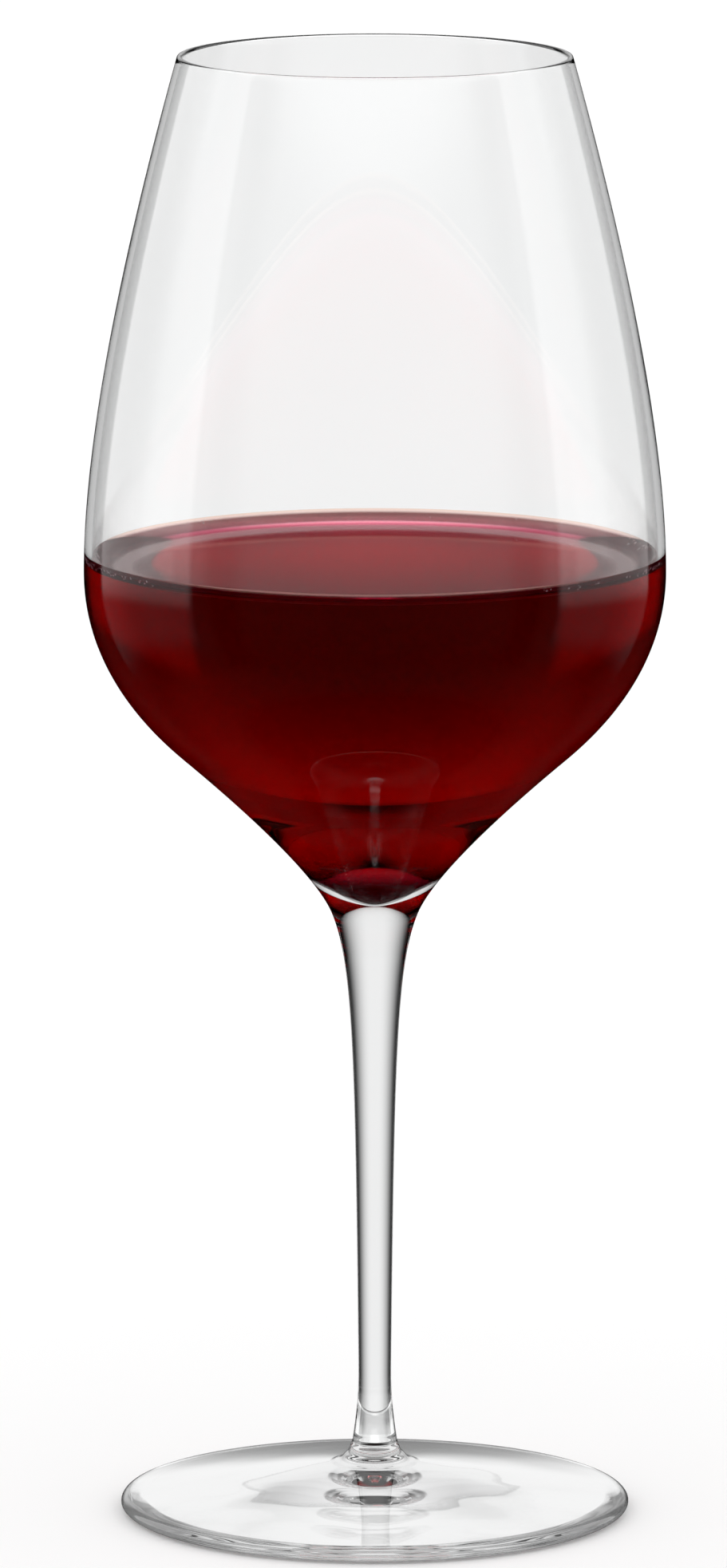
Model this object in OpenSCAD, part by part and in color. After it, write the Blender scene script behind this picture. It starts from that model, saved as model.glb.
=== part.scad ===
// Stemmed red wine glass with wine in it.
// Three gathers of clear glass are fused end to end: a bowl, a stem and a foot. The wine lies in
// the bowl and takes its shape from the bowl's inside. The glass stands on the XY plane with its
// axis on Z.

/* [Overall] */
// Height of the glass, from the table to the top of the rim
glass_h = 232; // [190:1:280]
// Height of the bowl, from its seam with the stem to the top of the rim
bowl_h = 136; // [112:1:165]
// Outside diameter of the bowl where it is widest
bowl_d = 91.5; // [76:0.5:110]
// Outside diameter of the mouth
rim_d = 62; // [51:0.5:75]
// Outside diameter of the foot
foot_d = 80.6; // [66:0.2:98]

/* [Bowl] */
// Height of the widest ring above the seam with the stem
wide_up = 54.5; // [45:0.5:66]
// Height above the seam of the ring where the lower bowl leans out the most
cone_up = 24; // [19:0.5:30]
// Outside diameter of that ring
cone_d = 58; // [47:0.5:70]
// Lean of the lower bowl at that ring, in degrees from upright
cone_lean = 48.5; // [40:0.5:58]
// Lean of the wall in towards the mouth, in degrees from upright
rim_lean = 15.5; // [8:0.5:20]
// Wall of the bowl at the rim, which is melted round
rim_t = 0.9; // [0.7:0.05:1.6]
// Wall of the bowl where it is widest
wide_t = 1.2; // [0.9:0.05:2.2]
// Wall of the lower bowl
cone_t = 1.8; // [1.2:0.05:3]
// Solid glass between the inside of the bowl and the seam with the stem
bottom_t = 3.3; // [2.2:0.1:6]

/* [Stem] */
// Diameter of the seam between the bowl and the stem
seam_d = 13.6; // [11:0.1:16.4]
// Lean of the outline where it crosses that seam, in degrees from upright
seam_lean = 22; // [15:0.5:30]
// Diameter of the stem where it is thinnest
stem_d = 5.2; // [4.2:0.1:6.6]
// Height of the thinnest place above the seam with the foot
waist_up = 13; // [8:0.5:20]
// Lean of the stem above its thinnest place, in degrees from upright
stem_lean = 0.6; // [0:0.1:1.2]

/* [Foot] */
// Height of the foot, from the table to its seam with the stem
foot_h = 11.2; // [9.2:0.1:14]
// Diameter of the seam between the foot and the stem
hub_d = 7; // [6.8:0.1:8.6]
// Lean of the outline where it crosses that seam, in degrees from upright
hub_lean = 8; // [2:0.5:14]
// Diameter at which the hub's fillet runs out into the top of the foot
fillet_d = 14.6; // [12:0.2:18]
// Height of the foot's top where the fillet runs out
fillet_z = 7.4; // [6:0.1:8.6]
// Slope of the foot's top, in degrees
foot_slope = 9; // [5:0.5:13]
// Thickness of the foot's rounded edge
edge_t = 2.5; // [2:0.1:3.2]
// Height of the hollow under the foot, at its middle
dish_h = 3; // [2:0.1:4.2]
// Width of the flat ring that the foot rests on
rest_w = 2; // [1:0.1:3]
// Distance from the outside of that ring to the edge of the foot
rest_in = 1.9; // [1.5:0.1:2.6]
// Number of fine rings left in the hub's fillet
ring_count = 3; // [1:1:5]
// Height of those rings
ring_h = 0.08; // [0.04:0.01:0.15]

/* [Wine] */
// Height of the wine's level above the seam between the bowl and the stem
fill_up = 55.3; // [30:0.1:90]
// Height to which the wine creeps up the wall above its level
creep_h = 2.5; // [1:0.1:3.2]
// Distance from the wall over which the creep falls away by two thirds
creep_w = 2.3; // [1.5:0.1:3]

/* [Hidden] */
$fn = 128;

seam_z = glass_h - bowl_h;
level_z = seam_z + fill_up;
creep_z = level_z + creep_h;

// Stations of the outline: radius, height and lean from upright, which is towards the axis where
// it is negative.
hub = [hub_d / 2, foot_h, -hub_lean];
waist = [stem_d / 2, foot_h + waist_up, stem_lean];
seam = [seam_d / 2, seam_z, seam_lean];
cone = [cone_d / 2, seam_z + cone_up, cone_lean];
wide = [bowl_d / 2, seam_z + wide_up, 0];
rim = [(rim_d - rim_t) / 2, glass_h - rim_t / 2, -rim_lean];

// Direction of travel at a station.
function heading(p) = [sin(p[2]), cos(p[2])];

// The station t further in, square to the wall.
function inward(p, t) = [p[0] - t * cos(p[2]), p[1] + t * sin(p[2]), p[2]];

// The place at share t of a smooth curve between two stations. Each pull is the share of the
// distance between them over which the curve keeps to that station's lean.
function place(p, q, pull_p, pull_q, t) =
    let (
        a = [p[0], p[1]],
        d = [q[0], q[1]],
        b = a + pull_p * norm(d - a) * heading(p),
        c = d - pull_q * norm(d - a) * heading(q),
        s = 1 - t
    )
    s * s * s * a + 3 * s * s * t * b + 3 * s * t * t * c + t * t * t * d;

// That curve in steps, without its first place, so that curves follow on from each other.
function curve(p, q, pull_p, pull_q, steps) =
    [for (i = [1:steps]) place(p, q, pull_p, pull_q, i / steps)];

// The same curve with fine rings standing up from it on its outer side.
function ringed_curve(p, q, pull_p, pull_q, steps) =
    [for (i = [1:steps])
        let (
            t = i / steps,
            here = place(p, q, pull_p, pull_q, t),
            along = here - place(p, q, pull_p, pull_q, t - 0.5 / steps),
            out = [along[1], -along[0]] / norm(along)
        )
        here + ring_h * (1 - cos(360 * ring_count * t)) / 2 * out];

// The melted rim is a half round from the outside of the wall to the inside.
rim_bead = [for (i = [1:7])
    [rim[0], rim[1]] + rim_t / 2 * [cos(rim_lean + i * 180 / 8), sin(rim_lean + i * 180 / 8)]];

bowl_outside = concat(
    [[seam[0], seam[1]]],
    curve(seam, cone, 0.25, 0.08, 14),
    curve(cone, wide, 0.12, 0.5, 18),
    curve(wide, inward(rim, -rim_t / 2), 0.3, 0.25, 22)
);

bowl_inside = concat(
    [[0, seam_z + bottom_t]],
    curve([0, seam_z + bottom_t, 90], inward(cone, cone_t), 0.12, 0.5, 16),
    curve(inward(cone, cone_t), inward(wide, wide_t), 0.12, 0.5, 18),
    curve(inward(wide, wide_t), inward(rim, rim_t / 2), 0.3, 0.25, 22)
);

function backwards(points) = [for (i = [len(points) - 1:-1:0]) points[i]];

module bowl() {
    color([0.86, 0.9, 0.91, 0.4])
    rotate_extrude()
    polygon(concat([[0, seam_z]], bowl_outside, rim_bead, backwards(bowl_inside)));
}

module stem() {
    color([0.8, 0.86, 0.88, 0.5])
    rotate_extrude()
    polygon(concat(
        [[0, foot_h], [hub[0], hub[1]]],
        curve(hub, waist, 0.45, 0.43, 8),
        curve(waist, seam, 0.7, 0.12, 26),
        [[0, seam_z]]
    ));
}

// The foot is pressed thin with a shallow hollow under it, so that it rests on a ring near its
// edge and not on its middle.
module foot() {
    rest_r = foot_d / 2 - rest_in;
    color([0.8, 0.86, 0.88, 0.5])
    rotate_extrude()
    polygon(concat(
        [[0, dish_h]],
        curve([0, dish_h, 90], [rest_r - rest_w, 0, 97], 0.4, 0.2, 14),
        [[rest_r, 0]],
        curve([rest_r, 0, 90], [foot_d / 2, edge_t / 2, 0], 0.4, 0.35, 6),
        curve([foot_d / 2, edge_t / 2, 0], [foot_d / 2 - edge_t / 2, edge_t, foot_slope - 90],
            0.35, 0.35, 6),
        curve([foot_d / 2 - edge_t / 2, edge_t, foot_slope - 90],
            [fillet_d / 2, fillet_z, foot_slope - 90], 0.3, 0.3, 10),
        ringed_curve([fillet_d / 2, fillet_z, foot_slope - 90], hub, 0.4, 0.35, 8 * ring_count),
        [[0, foot_h]]
    ));
}

// The wine fills the inside of the bowl to its level, and its surface turns up where it meets the
// wall.
module wine() {
    side = [for (p = bowl_inside) if (p[1] < creep_z) p];
    below = side[len(side) - 1];
    above = bowl_inside[len(side)];
    edge_r = below[0] + (above[0] - below[0]) * (creep_z - below[1]) / (above[1] - below[1]);
    reach = 4 * creep_w;
    surface = [for (i = [0:9])
        let (x = reach * pow(i / 9, 1.5), fade = (exp(-x / creep_w) - exp(-4)) / (1 - exp(-4)))
        [edge_r - x, level_z + creep_h * fade]];
    color([0.4, 0.02, 0.06])
    rotate_extrude()
    polygon(concat(side, surface, [[0, level_z]]));
}

bowl();
stem();
foot();
wine();
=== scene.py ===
from math import cos, pi, radians, sin

import bpy
import numpy as np
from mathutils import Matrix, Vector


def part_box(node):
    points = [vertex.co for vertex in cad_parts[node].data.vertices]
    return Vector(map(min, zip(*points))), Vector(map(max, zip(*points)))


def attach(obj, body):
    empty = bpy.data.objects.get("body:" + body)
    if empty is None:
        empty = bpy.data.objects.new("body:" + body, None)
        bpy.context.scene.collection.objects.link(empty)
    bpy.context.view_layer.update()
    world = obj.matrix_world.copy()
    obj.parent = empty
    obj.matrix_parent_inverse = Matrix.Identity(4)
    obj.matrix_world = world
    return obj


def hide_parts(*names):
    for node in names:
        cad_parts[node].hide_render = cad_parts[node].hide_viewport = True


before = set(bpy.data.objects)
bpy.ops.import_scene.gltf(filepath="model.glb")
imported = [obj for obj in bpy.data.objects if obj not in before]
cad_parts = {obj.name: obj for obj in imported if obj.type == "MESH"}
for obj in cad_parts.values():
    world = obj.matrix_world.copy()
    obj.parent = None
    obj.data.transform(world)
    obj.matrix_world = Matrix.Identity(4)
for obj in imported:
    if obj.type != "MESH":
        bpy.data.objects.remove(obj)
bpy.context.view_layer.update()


# ---------------------------------------------------------------------------------------------
# Bowl: the first gather of clear glass, blown into a thin tapered bowl with a thick solid tip.
# Its rim is cut and melted round. The inside is dry above the wine and wetted below it. Over the
# tip the wetted glass carries a nearly black painted shade that stands in for the deepest wine's dark.
# ---------------------------------------------------------------------------------------------

class Wire:
    """A value in a shader. Sums on it are written as Python expressions and add Math nodes."""

    def __init__(self, tree, socket=None):
        self.tree = tree
        self.socket = socket

    def node(self, kind, settings=None, inputs=None, out=0):
        """A new node: its settings are set first, then its sockets get their values or links."""
        made = self.tree.nodes.new(kind)
        for name, value in (settings or {}).items():
            setattr(made, name, value)
        for name, value in (inputs or {}).items():
            if isinstance(value, Wire):
                self.tree.links.new(value.socket, made.inputs[name])
            else:
                made.inputs[name].default_value = value
        return Wire(self.tree, made.outputs[out] if made.outputs else None)

    def maths(self, operation, *values):
        return self.node("ShaderNodeMath", {"operation": operation}, dict(enumerate(values)))

    def __add__(self, other):
        return self.maths("ADD", self, other)

    def __sub__(self, other):
        return self.maths("SUBTRACT", self, other)

    def __rsub__(self, other):
        return self.maths("SUBTRACT", other, self)

    def __mul__(self, other):
        return self.maths("MULTIPLY", self, other)

    __radd__ = __add__
    __rmul__ = __mul__


def new_material(name):
    """An empty material and the start of its shader."""
    material = bpy.data.materials.new(name)
    material.use_nodes = True
    material.node_tree.nodes.clear()
    return material, Wire(material.node_tree)


def blended(factor, low, high):
    """The colour low where the factor is 0 and high where it is 1."""
    return factor.node("ShaderNodeMix", {"data_type": "RGBA"}, {"Factor": factor, 6: low, 7: high}, out=2)


def ramp(value, low, high):
    """0 below low, 1 above high, and a soft rise between them."""
    return value.node("ShaderNodeMapRange", {"interpolation_type": "SMOOTHSTEP"},
                      {"Value": value, "From Min": low, "From Max": high})


def clear_glass(name, ior, waviness, painted_shade_below=None):
    """Polished clear glass with a faint wave in its skin. Where heights are given, its base colour below
    them is a painted shade of nearly black wine colour.
    """
    wave_scale, wave_height = 55, 0.0004
    grey_glass, white_glass = (0.985, 0.99, 0.99, 1), (0.995, 0.997, 0.997, 1)
    painted_shade_colour = (0.02, 0.0008, 0.0025, 1)
    material, start = new_material(name)
    where = start.node("ShaderNodeTexCoord", out=3)
    wave = start.node("ShaderNodeTexNoise", None, {"Vector": where, "Scale": wave_scale, "Detail": 1})
    bump = start.node("ShaderNodeBump", None,
                      {"Strength": waviness, "Distance": wave_height, "Height": wave})
    tone_and_painted_shade = blended(wave, grey_glass, white_glass)
    # Painted shade: below the given heights the glass's base colour fades to nearly black, standing in for
    # the dark of the deepest wine.
    if painted_shade_below:
        height = start.node("ShaderNodeSeparateXYZ", None, {0: where}, out=2)
        tone_and_painted_shade = blended(ramp(height, *painted_shade_below), painted_shade_colour, tone_and_painted_shade)
    glass = start.node("ShaderNodeBsdfPrincipled", None, {
        "Base Color": tone_and_painted_shade, "Roughness": 0, "IOR": ior, "Transmission Weight": 1, "Normal": bump})
    start.node("ShaderNodeOutputMaterial", None, {"Surface": glass})
    return material


def fused_seam(name):
    """Where two gathers are melted together there is no surface, so nothing shows."""
    material, start = new_material(name)
    through = start.node("ShaderNodeBsdfTransparent")
    start.node("ShaderNodeOutputMaterial", None, {"Surface": through})
    return material


def heading(station):
    """The way the wall runs at a station, which is a radius, a height and a lean from upright."""
    lean = radians(station[2])
    return np.array([sin(lean), cos(lean)])


def curve(first, last, leave, arrive, steps):
    """A smooth run between two stations. It holds their leans for the shares leave and arrive."""
    a = np.array(first[:2])
    d = np.array(last[:2])
    reach = np.linalg.norm(d - a)
    b = a + leave * reach * heading(first)
    c = d - arrive * reach * heading(last)
    t = np.linspace(0, 1, steps + 1)[:, None]
    s = 1 - t
    return s ** 3 * a + 3 * s * s * t * b + 3 * s * t * t * c + t ** 3 * d


def joined(*runs):
    """One run of points out of several, each of which starts where the last one ends."""
    return np.vstack([runs[0]] + [run[1:] for run in runs[1:]])


def inward(station, distance):
    """The station that lies further in, square to the wall."""
    radius, height, lean = station
    return (radius - distance * cos(radians(lean)), height + distance * sin(radians(lean)), lean)


def new_piece(name, verts, faces, materials):
    """A smooth mesh object in the scene."""
    mesh = bpy.data.meshes.new(name)
    mesh.from_pydata(verts, [], faces)
    for material in materials:
        mesh.materials.append(material)
    mesh.polygons.foreach_set("use_smooth", [True] * len(faces))
    piece = bpy.data.objects.new(name, mesh)
    bpy.context.scene.collection.objects.link(piece)
    return piece


def turned(name, zones, steps=256):
    """A solid of revolution. Zones are (material, run of points), each run on from the last."""
    on_axis, sharp_edge = 1e-7, radians(40)
    points, verts, faces, slots, rings, face_slots = [], [], [], [], [], []
    for slot, (_, run) in enumerate(zones):
        run = [tuple(point) for point in run]
        if points:
            run = run[1:]
        slots += [slot] * (len(run) if points else len(run) - 1)
        points += run
    angles = np.arange(steps) * 2 * pi / steps
    for radius, height in points:
        if radius < on_axis:
            rings.append([len(verts)] * steps)
            verts.append((0, 0, height))
        else:
            rings.append(list(range(len(verts), len(verts) + steps)))
            verts += [(radius * cos(angle), radius * sin(angle), height) for angle in angles]
    for below, above, slot in zip(rings, rings[1:], slots):
        for j in range(steps):
            k = (j + 1) % steps
            corners = [below[j], below[k], above[k], above[j]]
            faces.append([corner for i, corner in enumerate(corners) if corner != corners[i - 1]])
            face_slots.append(slot)
    piece = new_piece(name, verts, faces, [material for material, _ in zones])
    piece.data.polygons.foreach_set("material_index", face_slots)
    piece.data.set_sharp_from_angle(angle=sharp_edge)
    return piece


def handed_in(piece, node):
    """The piece stands for its CAD node and is part of the one rigid glass."""
    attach(piece, "root")
    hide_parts(node)


glass_ior, wine_ior = 1.5, 1.34
flat_wave = 0.02

seam_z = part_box("bowl")[0].z
rim_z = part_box("bowl")[1].z
wide_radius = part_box("bowl")[1].x
seam_radius, seam_lean = 0.0068, 22
cone_radius, cone_up, cone_lean, cone_wall = 0.029, 0.024, 48.5, 0.0018
wide_up, wide_wall = 0.0545, 0.0012
rim_radius, rim_lean, rim_wall = 0.031, 15.5, 0.0009
tip = 0.0033
# Heights above the seam where the painted shade on the wetted glass is full and where it has faded out.
painted_shade_full_up, painted_shade_gone_up = 0.0065, 0.017

seam = (seam_radius, seam_z, seam_lean)
cone = (cone_radius, seam_z + cone_up, cone_lean)
wide = (wide_radius, seam_z + wide_up, 0)
rim = (rim_radius - rim_wall / 2, rim_z - rim_wall / 2, -rim_lean)

outside = joined(
    curve(seam, cone, leave=0.25, arrive=0.08, steps=44),
    curve(cone, wide, leave=0.12, arrive=0.5, steps=56),
    curve(wide, inward(rim, -rim_wall / 2), leave=0.3, arrive=0.25, steps=70),
)
bead_turns = np.radians(rim_lean + np.linspace(0, 180, 17))
bead = np.array(rim[:2]) + rim_wall / 2 * np.column_stack([np.cos(bead_turns), np.sin(bead_turns)])
inside = joined(
    curve((0, seam_z + tip, 90), inward(cone, cone_wall), leave=0.12, arrive=0.5, steps=48),
    curve(inward(cone, cone_wall), inward(wide, wide_wall), leave=0.12, arrive=0.5, steps=56),
    curve(inward(wide, wide_wall), inward(rim, rim_wall / 2), leave=0.3, arrive=0.25, steps=70),
)

creep_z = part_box("wine")[1].z
creep_radius = np.interp(creep_z, inside[:, 1], inside[:, 0])
wine_edge = np.array([[creep_radius, creep_z]])
wetted = np.vstack([inside[inside[:, 1] < creep_z], wine_edge])
dry = np.vstack([wine_edge, inside[inside[:, 1] > creep_z]])

dry_glass = clear_glass("bowl_glass", glass_ior, flat_wave)
wet_glass = clear_glass("bowl_glass_wetted", glass_ior / wine_ior, flat_wave,
                        painted_shade_below=(seam_z + painted_shade_full_up, seam_z + painted_shade_gone_up))
bowl = turned("bowl_glass", [
    (fused_seam("bowl_seam"), [(0, seam_z), seam[:2]]),
    (dry_glass, joined(outside, bead)),
    (dry_glass, dry[::-1]),
    (wet_glass, wetted[::-1]),
])
handed_in(bowl, "bowl")


# ---------------------------------------------------------------------------------------------
# Stem: the second gather, drawn down from the tip of the bowl into a long solid rod that is
# thinnest just above the foot. It is fused to the bowl and to the foot.
# ---------------------------------------------------------------------------------------------

hub_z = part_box("stem")[0].z
hub_radius, hub_lean = 0.0035, 8
waist_radius, waist_up, waist_lean = 0.0026, 0.013, 0.6

hub = (hub_radius, hub_z, -hub_lean)
waist = (waist_radius, hub_z + waist_up, waist_lean)
stem = turned("stem_glass", [
    (fused_seam("stem_seam"), [(0, hub_z), hub[:2]]),
    (clear_glass("stem_glass", glass_ior, flat_wave), joined(
        curve(hub, waist, leave=0.45, arrive=0.43, steps=30),
        curve(waist, seam, leave=0.7, arrive=0.12, steps=120),
    )),
    (fused_seam("stem_seam_top"), [seam[:2], (0, seam_z)]),
], steps=128)
handed_in(stem, "stem")


# ---------------------------------------------------------------------------------------------
# Foot: the third gather, pressed into a thin disc with a hub that takes the stem. Its edge is
# melted round, its underside is a shallow hollow, and the hub keeps three fine rings. A pressed
# face is wavier than a blown one.
# ---------------------------------------------------------------------------------------------

foot_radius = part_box("foot")[1].x
edge_height, dish, dish_lean = 0.0025, 0.003, 97
rest_width, rest_in = 0.002, 0.0019
fillet_radius, fillet_z, top_lean = 0.0073, 0.0074, 9 - 90
hub_rings, ring_height, ring_steps = 3, 0.00008, 90
pressed_wave = 0.5

rest_radius = foot_radius - rest_in
foot_edge = (foot_radius, edge_height / 2, 0)
shoulder = (foot_radius - edge_height / 2, edge_height, top_lean)
fillet = (fillet_radius, fillet_z, top_lean)


def outward(run):
    """The directions square to a run of points, away from the solid on its left."""
    along = np.gradient(run, axis=0)
    return np.column_stack([along[:, 1], -along[:, 0]]) / np.linalg.norm(along, axis=1)[:, None]


fillet_run = curve(fillet, hub, leave=0.4, arrive=0.35, steps=ring_steps)
ring_turns = 2 * pi * hub_rings * np.linspace(0, 1, ring_steps + 1)
swell = ring_height * (1 - np.cos(ring_turns)) / 2
foot = turned("foot_glass", [
    (clear_glass("foot_glass", glass_ior, pressed_wave), joined(
        curve((0, dish, 90), (rest_radius - rest_width, 0, dish_lean), leave=0.4, arrive=0.2, steps=60),
        np.array([(rest_radius - rest_width, 0), (rest_radius, 0)]),
        curve((rest_radius, 0, 90), foot_edge, leave=0.4, arrive=0.35, steps=16),
        curve(foot_edge, shoulder, leave=0.35, arrive=0.35, steps=16),
        curve(shoulder, fillet, leave=0.3, arrive=0.3, steps=50),
        fillet_run + swell[:, None] * outward(fillet_run),
    )),
    (fused_seam("foot_seam"), [hub[:2], (0, hub_z)]),
])
handed_in(foot, "foot")


# ---------------------------------------------------------------------------------------------
# Wine: a still pour of deep red wine. It takes the shape of the bowl's inside, and its surface
# creeps up the wall at the edge. Up the climb it has a near-black, brick-brown painted shade, and
# where the climb starts a pale matt ring is a painted highlight. A little matt red mixed into
# its open surface is painted light.
# ---------------------------------------------------------------------------------------------

creep_height, least_climb, climb_steps = 0.0025, 0.05, 56
capillary_length = 0.0022
film = 0.00003
level_z = creep_z - creep_height


def climb_width(rise):
    """How far in from the wall still wine has climbed by this much, less a constant."""
    share = rise / capillary_length
    return capillary_length * (np.arccosh(2 / share) - np.sqrt(4 - share ** 2))


rises = creep_height * np.linspace(1, least_climb, climb_steps) ** 2
steps_in = climb_width(rises) - climb_width(rises[0])
surface = np.column_stack([creep_radius - film - steps_in, level_z + rises - rises[-1]])
surface[0, 1] = creep_z
body = wetted - film * outward(wetted)
body[0] = (0, body[0][1])
body[-1] = surface[0]


def between(value, rise, fall):
    """1 between a soft rise and a soft fall, and 0 outside them."""
    return ramp(value, *rise) * (1 - ramp(value, *fall))


# Clear wine colour, and a near-black brick-brown painted shade laid up the climbing edge, standing in for
# the meniscus's dark band.
clear_edge, painted_shade_edge = (1, 0.7, 0.55, 1), (0.06, 0.02, 0.016, 1)
painted_shade_rise, painted_shade_fall = (0.22, 0.36), (0.72, 0.9)
line_rise, line_fall, line_share = (0.012, 0.05), (0.12, 0.2), 0.27
painted_red_light_share = 0.08
ripple_scale, ripple_height, ripple_strength = 40, 0.0004, 0.02

red_wine, start = new_material("red_wine")
is_open = start.node("ShaderNodeAttribute", {"attribute_name": "open_surface"}, out=2)
where = start.node("ShaderNodeTexCoord", out=3)
ripple = start.node("ShaderNodeTexNoise", None, {"Vector": where, "Scale": ripple_scale, "Detail": 1})
bump = start.node("ShaderNodeBump", None,
                  {"Strength": ripple_strength, "Distance": ripple_height, "Height": ripple})
climb = start.node("ShaderNodeAttribute", {"attribute_name": "climb"}, out=2)
edge_painted_shade = blended(between(climb, painted_shade_rise, painted_shade_fall), clear_edge, painted_shade_edge)
liquid = start.node("ShaderNodeBsdfPrincipled", None, {
    "Base Color": edge_painted_shade, "Roughness": 0, "IOR": wine_ior, "Transmission Weight": 1, "Normal": bump})
# Painted light: a small share of plain matt red is mixed into the wine's open surface, standing in for red
# light that the scene's lighting doesn't give.
painted_red_light = start.node("ShaderNodeBsdfDiffuse", None, {"Color": (0.9, 0.02, 0.05, 1)})
with_painted_red_light = start.node("ShaderNodeMixShader", None, {0: painted_red_light_share, 1: liquid, 2: painted_red_light})
# Painted highlight: a pale matt ring where the climb starts stands in for a bright line of light that the
# scene's lighting doesn't give.
pale = start.node("ShaderNodeBsdfDiffuse", None, {"Color": (0.9, 0.78, 0.78, 1)})
painted_highlight_mask = between(climb, line_rise, line_fall) * line_share
with_painted_highlight = start.node("ShaderNodeMixShader", None, {0: painted_highlight_mask, 1: with_painted_red_light, 2: pale})
through = start.node("ShaderNodeBsdfTransparent")
skin = start.node("ShaderNodeMixShader", None, {0: is_open, 1: through, 2: with_painted_highlight})
depth = start.node("ShaderNodeVolumeAbsorption", None, {"Color": (0.9, 0, 0.38, 1), "Density": 400})
start.node("ShaderNodeOutputMaterial", None, {"Surface": skin, "Volume": depth})

wine = turned("wine_body", [
    (red_wine, body),
    (red_wine, joined(surface, np.array([surface[-1], (0, level_z)]))),
])
open_face = wine.data.attributes.new("open_surface", "FLOAT", "FACE")
open_face.data.foreach_set("value", [float(face.material_index) for face in wine.data.polygons])
climbs = wine.data.attributes.new("climb", "FLOAT", "POINT")
climbs.data.foreach_set("value", [(vert.co.z - level_z) / creep_height for vert in wine.data.vertices])
handed_in(wine, "wine")


# ---------------------------------------------------------------------------------------------
# Bubbles: a few tiny bubbles left from the pour. They float on the wine and gather at its edge,
# where the surface climbs the wall, in loose rows at the sides.
# ---------------------------------------------------------------------------------------------

film_scale = 900
thin_film, thick_film = (0.95, 0.8, 0.8, 1), (1, 0.95, 0.95, 1)
edge_shine, face_shine = 0.85, 0.08

bubble_film, start = new_material("bubble_film")
where = start.node("ShaderNodeTexCoord", out=3)
drain = start.node("ShaderNodeTexNoise", None, {"Vector": where, "Scale": film_scale})
shine = start.node("ShaderNodeBsdfPrincipled", None, {
    "Base Color": blended(drain, thin_film, thick_film), "Roughness": 0.04, "IOR": wine_ior,
    "Specular IOR Level": 0.9})
clear = start.node("ShaderNodeBsdfTransparent")
facing = start.node("ShaderNodeLayerWeight", None, {"Blend": 0.35}, out=1)
film_skin = start.node("ShaderNodeMixShader", None,
                       {0: facing * edge_shine + face_shine, 1: clear, 2: shine})
start.node("ShaderNodeOutputMaterial", None, {"Surface": film_skin})


def ball(centre, radius, first, rings=6, around=10):
    """The points and faces of a small ball, whose points are numbered from first."""
    ways = [(0, 0, -1)]
    for ring in range(1, rings):
        polar = pi * ring / rings
        for step in range(around):
            turned_by = 2 * pi * step / around
            ways.append((sin(polar) * cos(turned_by), sin(polar) * sin(turned_by), -cos(polar)))
    ways.append((0, 0, 1))
    verts = [tuple(middle + radius * way for middle, way in zip(centre, steps)) for steps in ways]
    faces = []
    top = first + len(ways) - 1
    for step in range(around):
        after = (step + 1) % around
        faces.append((first, first + 1 + after, first + 1 + step))
        for ring in range(rings - 2):
            low = first + 1 + ring * around
            faces.append((low + step, low + after, low + around + after, low + around + step))
        low = first + 1 + (rings - 2) * around
        faces.append((low + step, low + after, top))
    return verts, faces


least_bubble, more_bubble = 0.00009, 0.00016
wall_gap, row_depth = 0.0002, 0.0009
# Each row: the bearing of its middle and its spread, both in degrees, and how many bubbles.
rows = [
    (187, 4, 60), (203, 8, 44),
    (14, 4, 16), (346, 5, 30),
    (322, 9, 12), (80, 60, 7),
]
chance = np.random.default_rng(7)
verts, faces = [], []
for row_middle, spread, count in rows:
    for _ in range(count):
        bearing = radians(row_middle + chance.normal(0, spread))
        size = least_bubble + more_bubble * chance.random() ** 2
        inset = size + row_depth * chance.random() ** 2
        from_axis = creep_radius - film - wall_gap - inset
        afloat = level_z + float(np.interp(inset + wall_gap, steps_in, rises))
        centre = (from_axis * cos(bearing), from_axis * sin(bearing), afloat)
        ball_verts, ball_faces = ball(centre, size, len(verts))
        verts += ball_verts
        faces += ball_faces
bubbles = new_piece("wine_bubbles", verts, faces, [bubble_film])
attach(bubbles, "root")


# ---------------------------------------------------------------------------------------------
# Floor: plain white painted board that the glass stands on. It lies a hair below the foot, and
# the glass neither mirrors it nor shows it through, so only its shadow is seen.
# ---------------------------------------------------------------------------------------------

floor_reach, floor_gap = 30, 0.0002
white_paint = (0.93, 0.93, 0.93, 1)

paint, start = new_material("floor_paint")
matt = start.node("ShaderNodeBsdfDiffuse", None, {"Color": white_paint})
start.node("ShaderNodeOutputMaterial", None, {"Surface": matt})
floor_corners = [(x * floor_reach, y * floor_reach, 0) for x, y in ((-1, -1), (1, -1), (1, 1), (-1, 1))]
floor = new_piece("floor", floor_corners, [(0, 1, 2, 3)], [paint])
floor.location.z = -floor_gap
floor.visible_glossy = False
floor.visible_transmission = False


# ---------------------------------------------------------------------------------------------
# Studio light: soft even light from all round, with long soft panels to the left and right of
# the glass, a pale sweep behind it and darkness between them. What shows through the stem and
# foot, through the bowl and in the glass's shine is set apart, as a studio does with flags.
# ---------------------------------------------------------------------------------------------

world = bpy.data.worlds.new("studio")
bpy.context.scene.world = world
world.use_nodes = True
world.node_tree.nodes.clear()
start = Wire(world.node_tree)


def zone(value, low, high, soft):
    """1 between low and high, falling softly to 0 outside them."""
    return between(value, (low - soft, low + soft), (high - soft, high + soft))


def pick(first, second, share):
    """The first value where the share is 0 and the second where it is 1."""
    return first + (second - first) * share


def light_path(name):
    return start.node("ShaderNodeLightPath", out=name)


# Turn is 0 degrees at the camera and 180 behind the glass, on either side. Height is 0 degrees
# level with the glass. Each area of light is a zone of turn, of height or of both, times its
# brightness.
to_degrees = 180 / pi
towards = start.node("ShaderNodeTexCoord")
split = start.node("ShaderNodeSeparateXYZ", None, {0: towards})
x, y, z = (Wire(world.node_tree, socket) for socket in split.socket.node.outputs)
turn = start.maths("ABSOLUTE", start.maths("ARCTAN2", x, y * -1)) * to_degrees
height = start.maths("ARCSINE", z) * to_degrees

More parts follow.
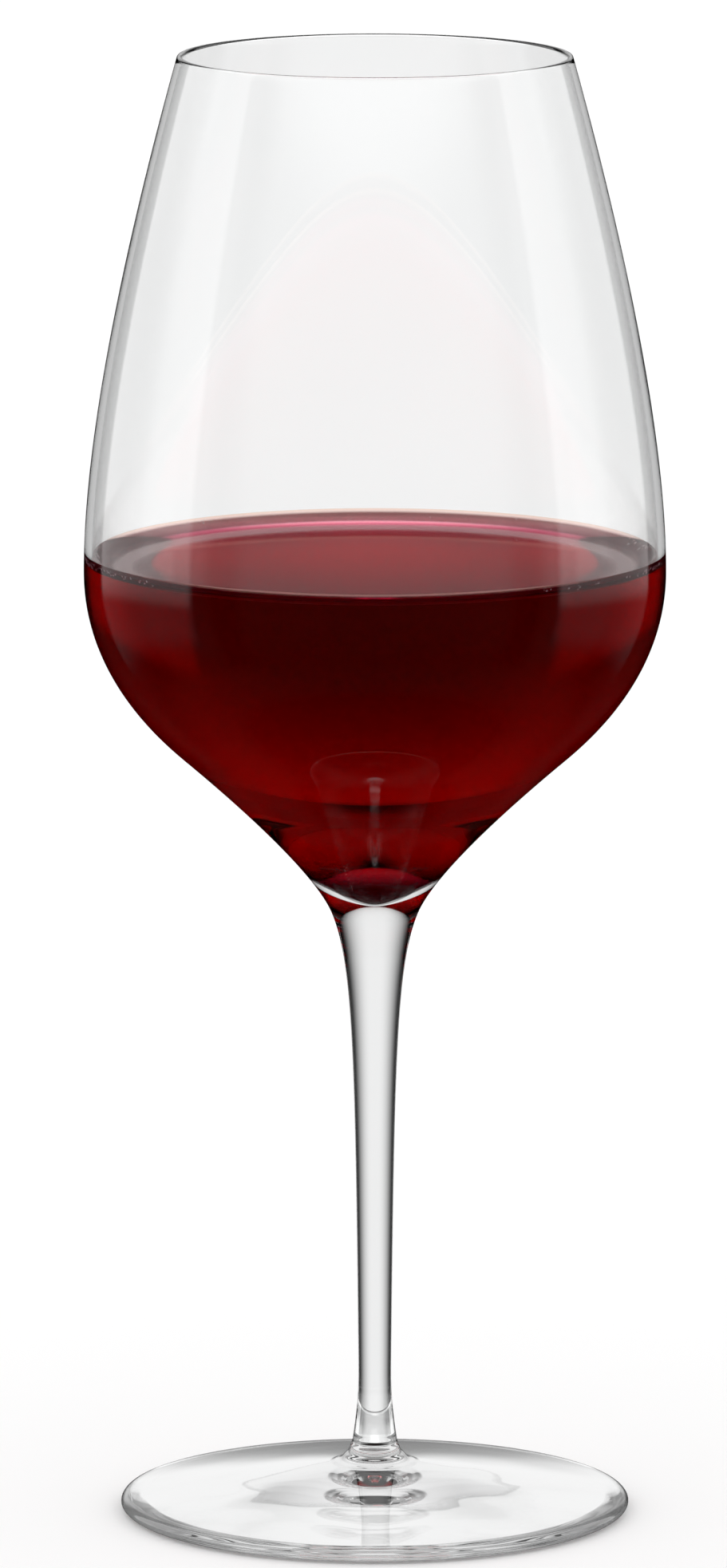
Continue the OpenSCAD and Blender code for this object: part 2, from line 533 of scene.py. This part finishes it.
sweep = ramp(turn, 116, 166)
soft_sweep = ramp(turn, 125, 174)
flanks = zone(turn, 72, 108, 5)
front = zone(turn, -20, 56, 5)
all_round = soft_sweep + flanks + front
panels = zone(turn, 92, 138, 2) * zone(height, -7, 55, 3)
level = zone(height, -30, 6, 3)
under = 1 - ramp(height, -33, -27)
upper = ramp(height, 3, 9)
overhead = zone(height, 40, 79, 6)

# Glossy depth counts a ray's bounces inside or off the glass. Transmission depth counts the
# glass faces it has passed: 2 through the stem or foot, 4 through the bowl, an odd number where
# it also crossed the wine's surface.
bounces = light_path("Glossy Depth")
faces_passed = light_path("Transmission Depth")
bounced = start.maths("MINIMUM", bounces, 1)
bounced_again = ramp(bounces, 1.4, 1.6)
in_bowl = ramp(faces_passed, 2.4, 2.6)
out_by_wine = ramp(faces_passed, 4.4, 4.6)
crossed_surface = zone(faces_passed, 4.5, 5.5, 0.1)
long_way = zone(faces_passed, 6.5, 7.5, 0.1) + ramp(faces_passed, 8.4, 8.6)

through_stem = (all_round * zone(height, -36, 70, 6) + under) * 0.92
stem_sides = (sweep + flanks * 0.7 + front * 0.35) * zone(height, -36, 36, 6) * 0.85
bent_in_stem = stem_sides + zone(height, -58, -40, 4) * 0.4

level_sides = zone(turn, 112, 142, 10) * zone(height, -7, 6, 3) * 1.6
wine_sides = zone(turn, 118, 158.3, 1) * zone(height, -5, 8, 2) * 1.1
table_glow = pick(0.5, 1.8, ramp(height, -54, -40)) * pick(0.55, 0.85, ramp(turn, 166, 180))
sky_glow = start.node("ShaderNodeMapRange", None, {
    "Value": height, "From Min": 6, "From Max": 28, "To Min": 1.15, "To Max": 2.5})
sky_fade = pick(0.65, 1, ramp(turn, 146, 160))
through_bowl = (level * all_round * 1.03 + level_sides + wine_sides
                + under * table_glow + upper * sky_glow * sky_fade)

low_sweep = (zone(height, -30, 5.4, 0.8) * sweep * pick(0.9, 0.25, bounced_again)
             * pick(1, 0.3, crossed_surface))
table_bounce = zone(height, -70, -33, 3) * 1.2
wine_ceiling = overhead * pick(0.9, 3.2, out_by_wine)
high_sweep = upper * pick(0.04, 0.17, ramp(turn, 164, 180))
front_fill = (bounced_again * long_way * (1 - ramp(turn, 80, 110))
              * zone(height, -20, 40, 10) * 1.5)
bent_in_bowl = low_sweep + panels + table_bounce + wine_ceiling + high_sweep + front_fill

panel_shine = (zone(turn, 78, 138, 2) * pick(0.08, 1.43, ramp(height, -12, -2))
               * zone(height, -24, 55, 5))
back_shine = zone(turn, 158, 200, 6) * zone(height, 3, 45, 5) * 0.9
front_shine = zone(turn, -20, 60, 6) * zone(height, 3, 45, 5) * 0.25
reflected = panel_shine + back_shine + front_shine + upper * 0.08

backdrop, dome = 1.2, 1.12
seen = light_path("Is Camera Ray")
through_glass = light_path("Is Transmission Ray")
off_glass = light_path("Is Glossy Ray") * (1 - through_glass)
passed = pick(pick(through_stem, bent_in_stem, bounced), pick(through_bowl, bent_in_bowl, bounced), in_bowl)
all_else = (1 - seen) * (1 - through_glass) * (1 - off_glass)
strength = seen * backdrop + through_glass * passed + off_glass * reflected + all_else * dome
sky = start.node("ShaderNodeBackground", None, {"Color": (1, 1, 1, 1), "Strength": strength})
start.node("ShaderNodeOutputWorld", None, {"Surface": sky})

scene = bpy.context.scene
most_bounces = 32
scene.view_settings.view_transform = "Standard"
scene.cycles.max_bounces = most_bounces
scene.cycles.transmission_bounces = most_bounces
scene.cycles.transparent_max_bounces = most_bounces
scene.cycles.glossy_bounces = most_bounces
scene.cycles.volume_bounces = 0


# ---------------------------------------------------------------------------------------------
# Camera: a long lens two metres off, a little above the rim and tipped down, as for a plain
# product shot.
# ---------------------------------------------------------------------------------------------

camera_back, camera_height = 2.057, 0.465
camera_tip, camera_swing = 9.613, 0.05

lens = bpy.data.cameras.new("camera")
lens.lens = 304
lens.sensor_width = 36
lens.clip_end = 100
camera = bpy.data.objects.new("camera", lens)
camera.location = (0, -camera_back, camera_height)
camera.rotation_euler = (radians(90 - camera_tip), 0, radians(camera_swing))
scene.collection.objects.link(camera)
scene.camera = camera
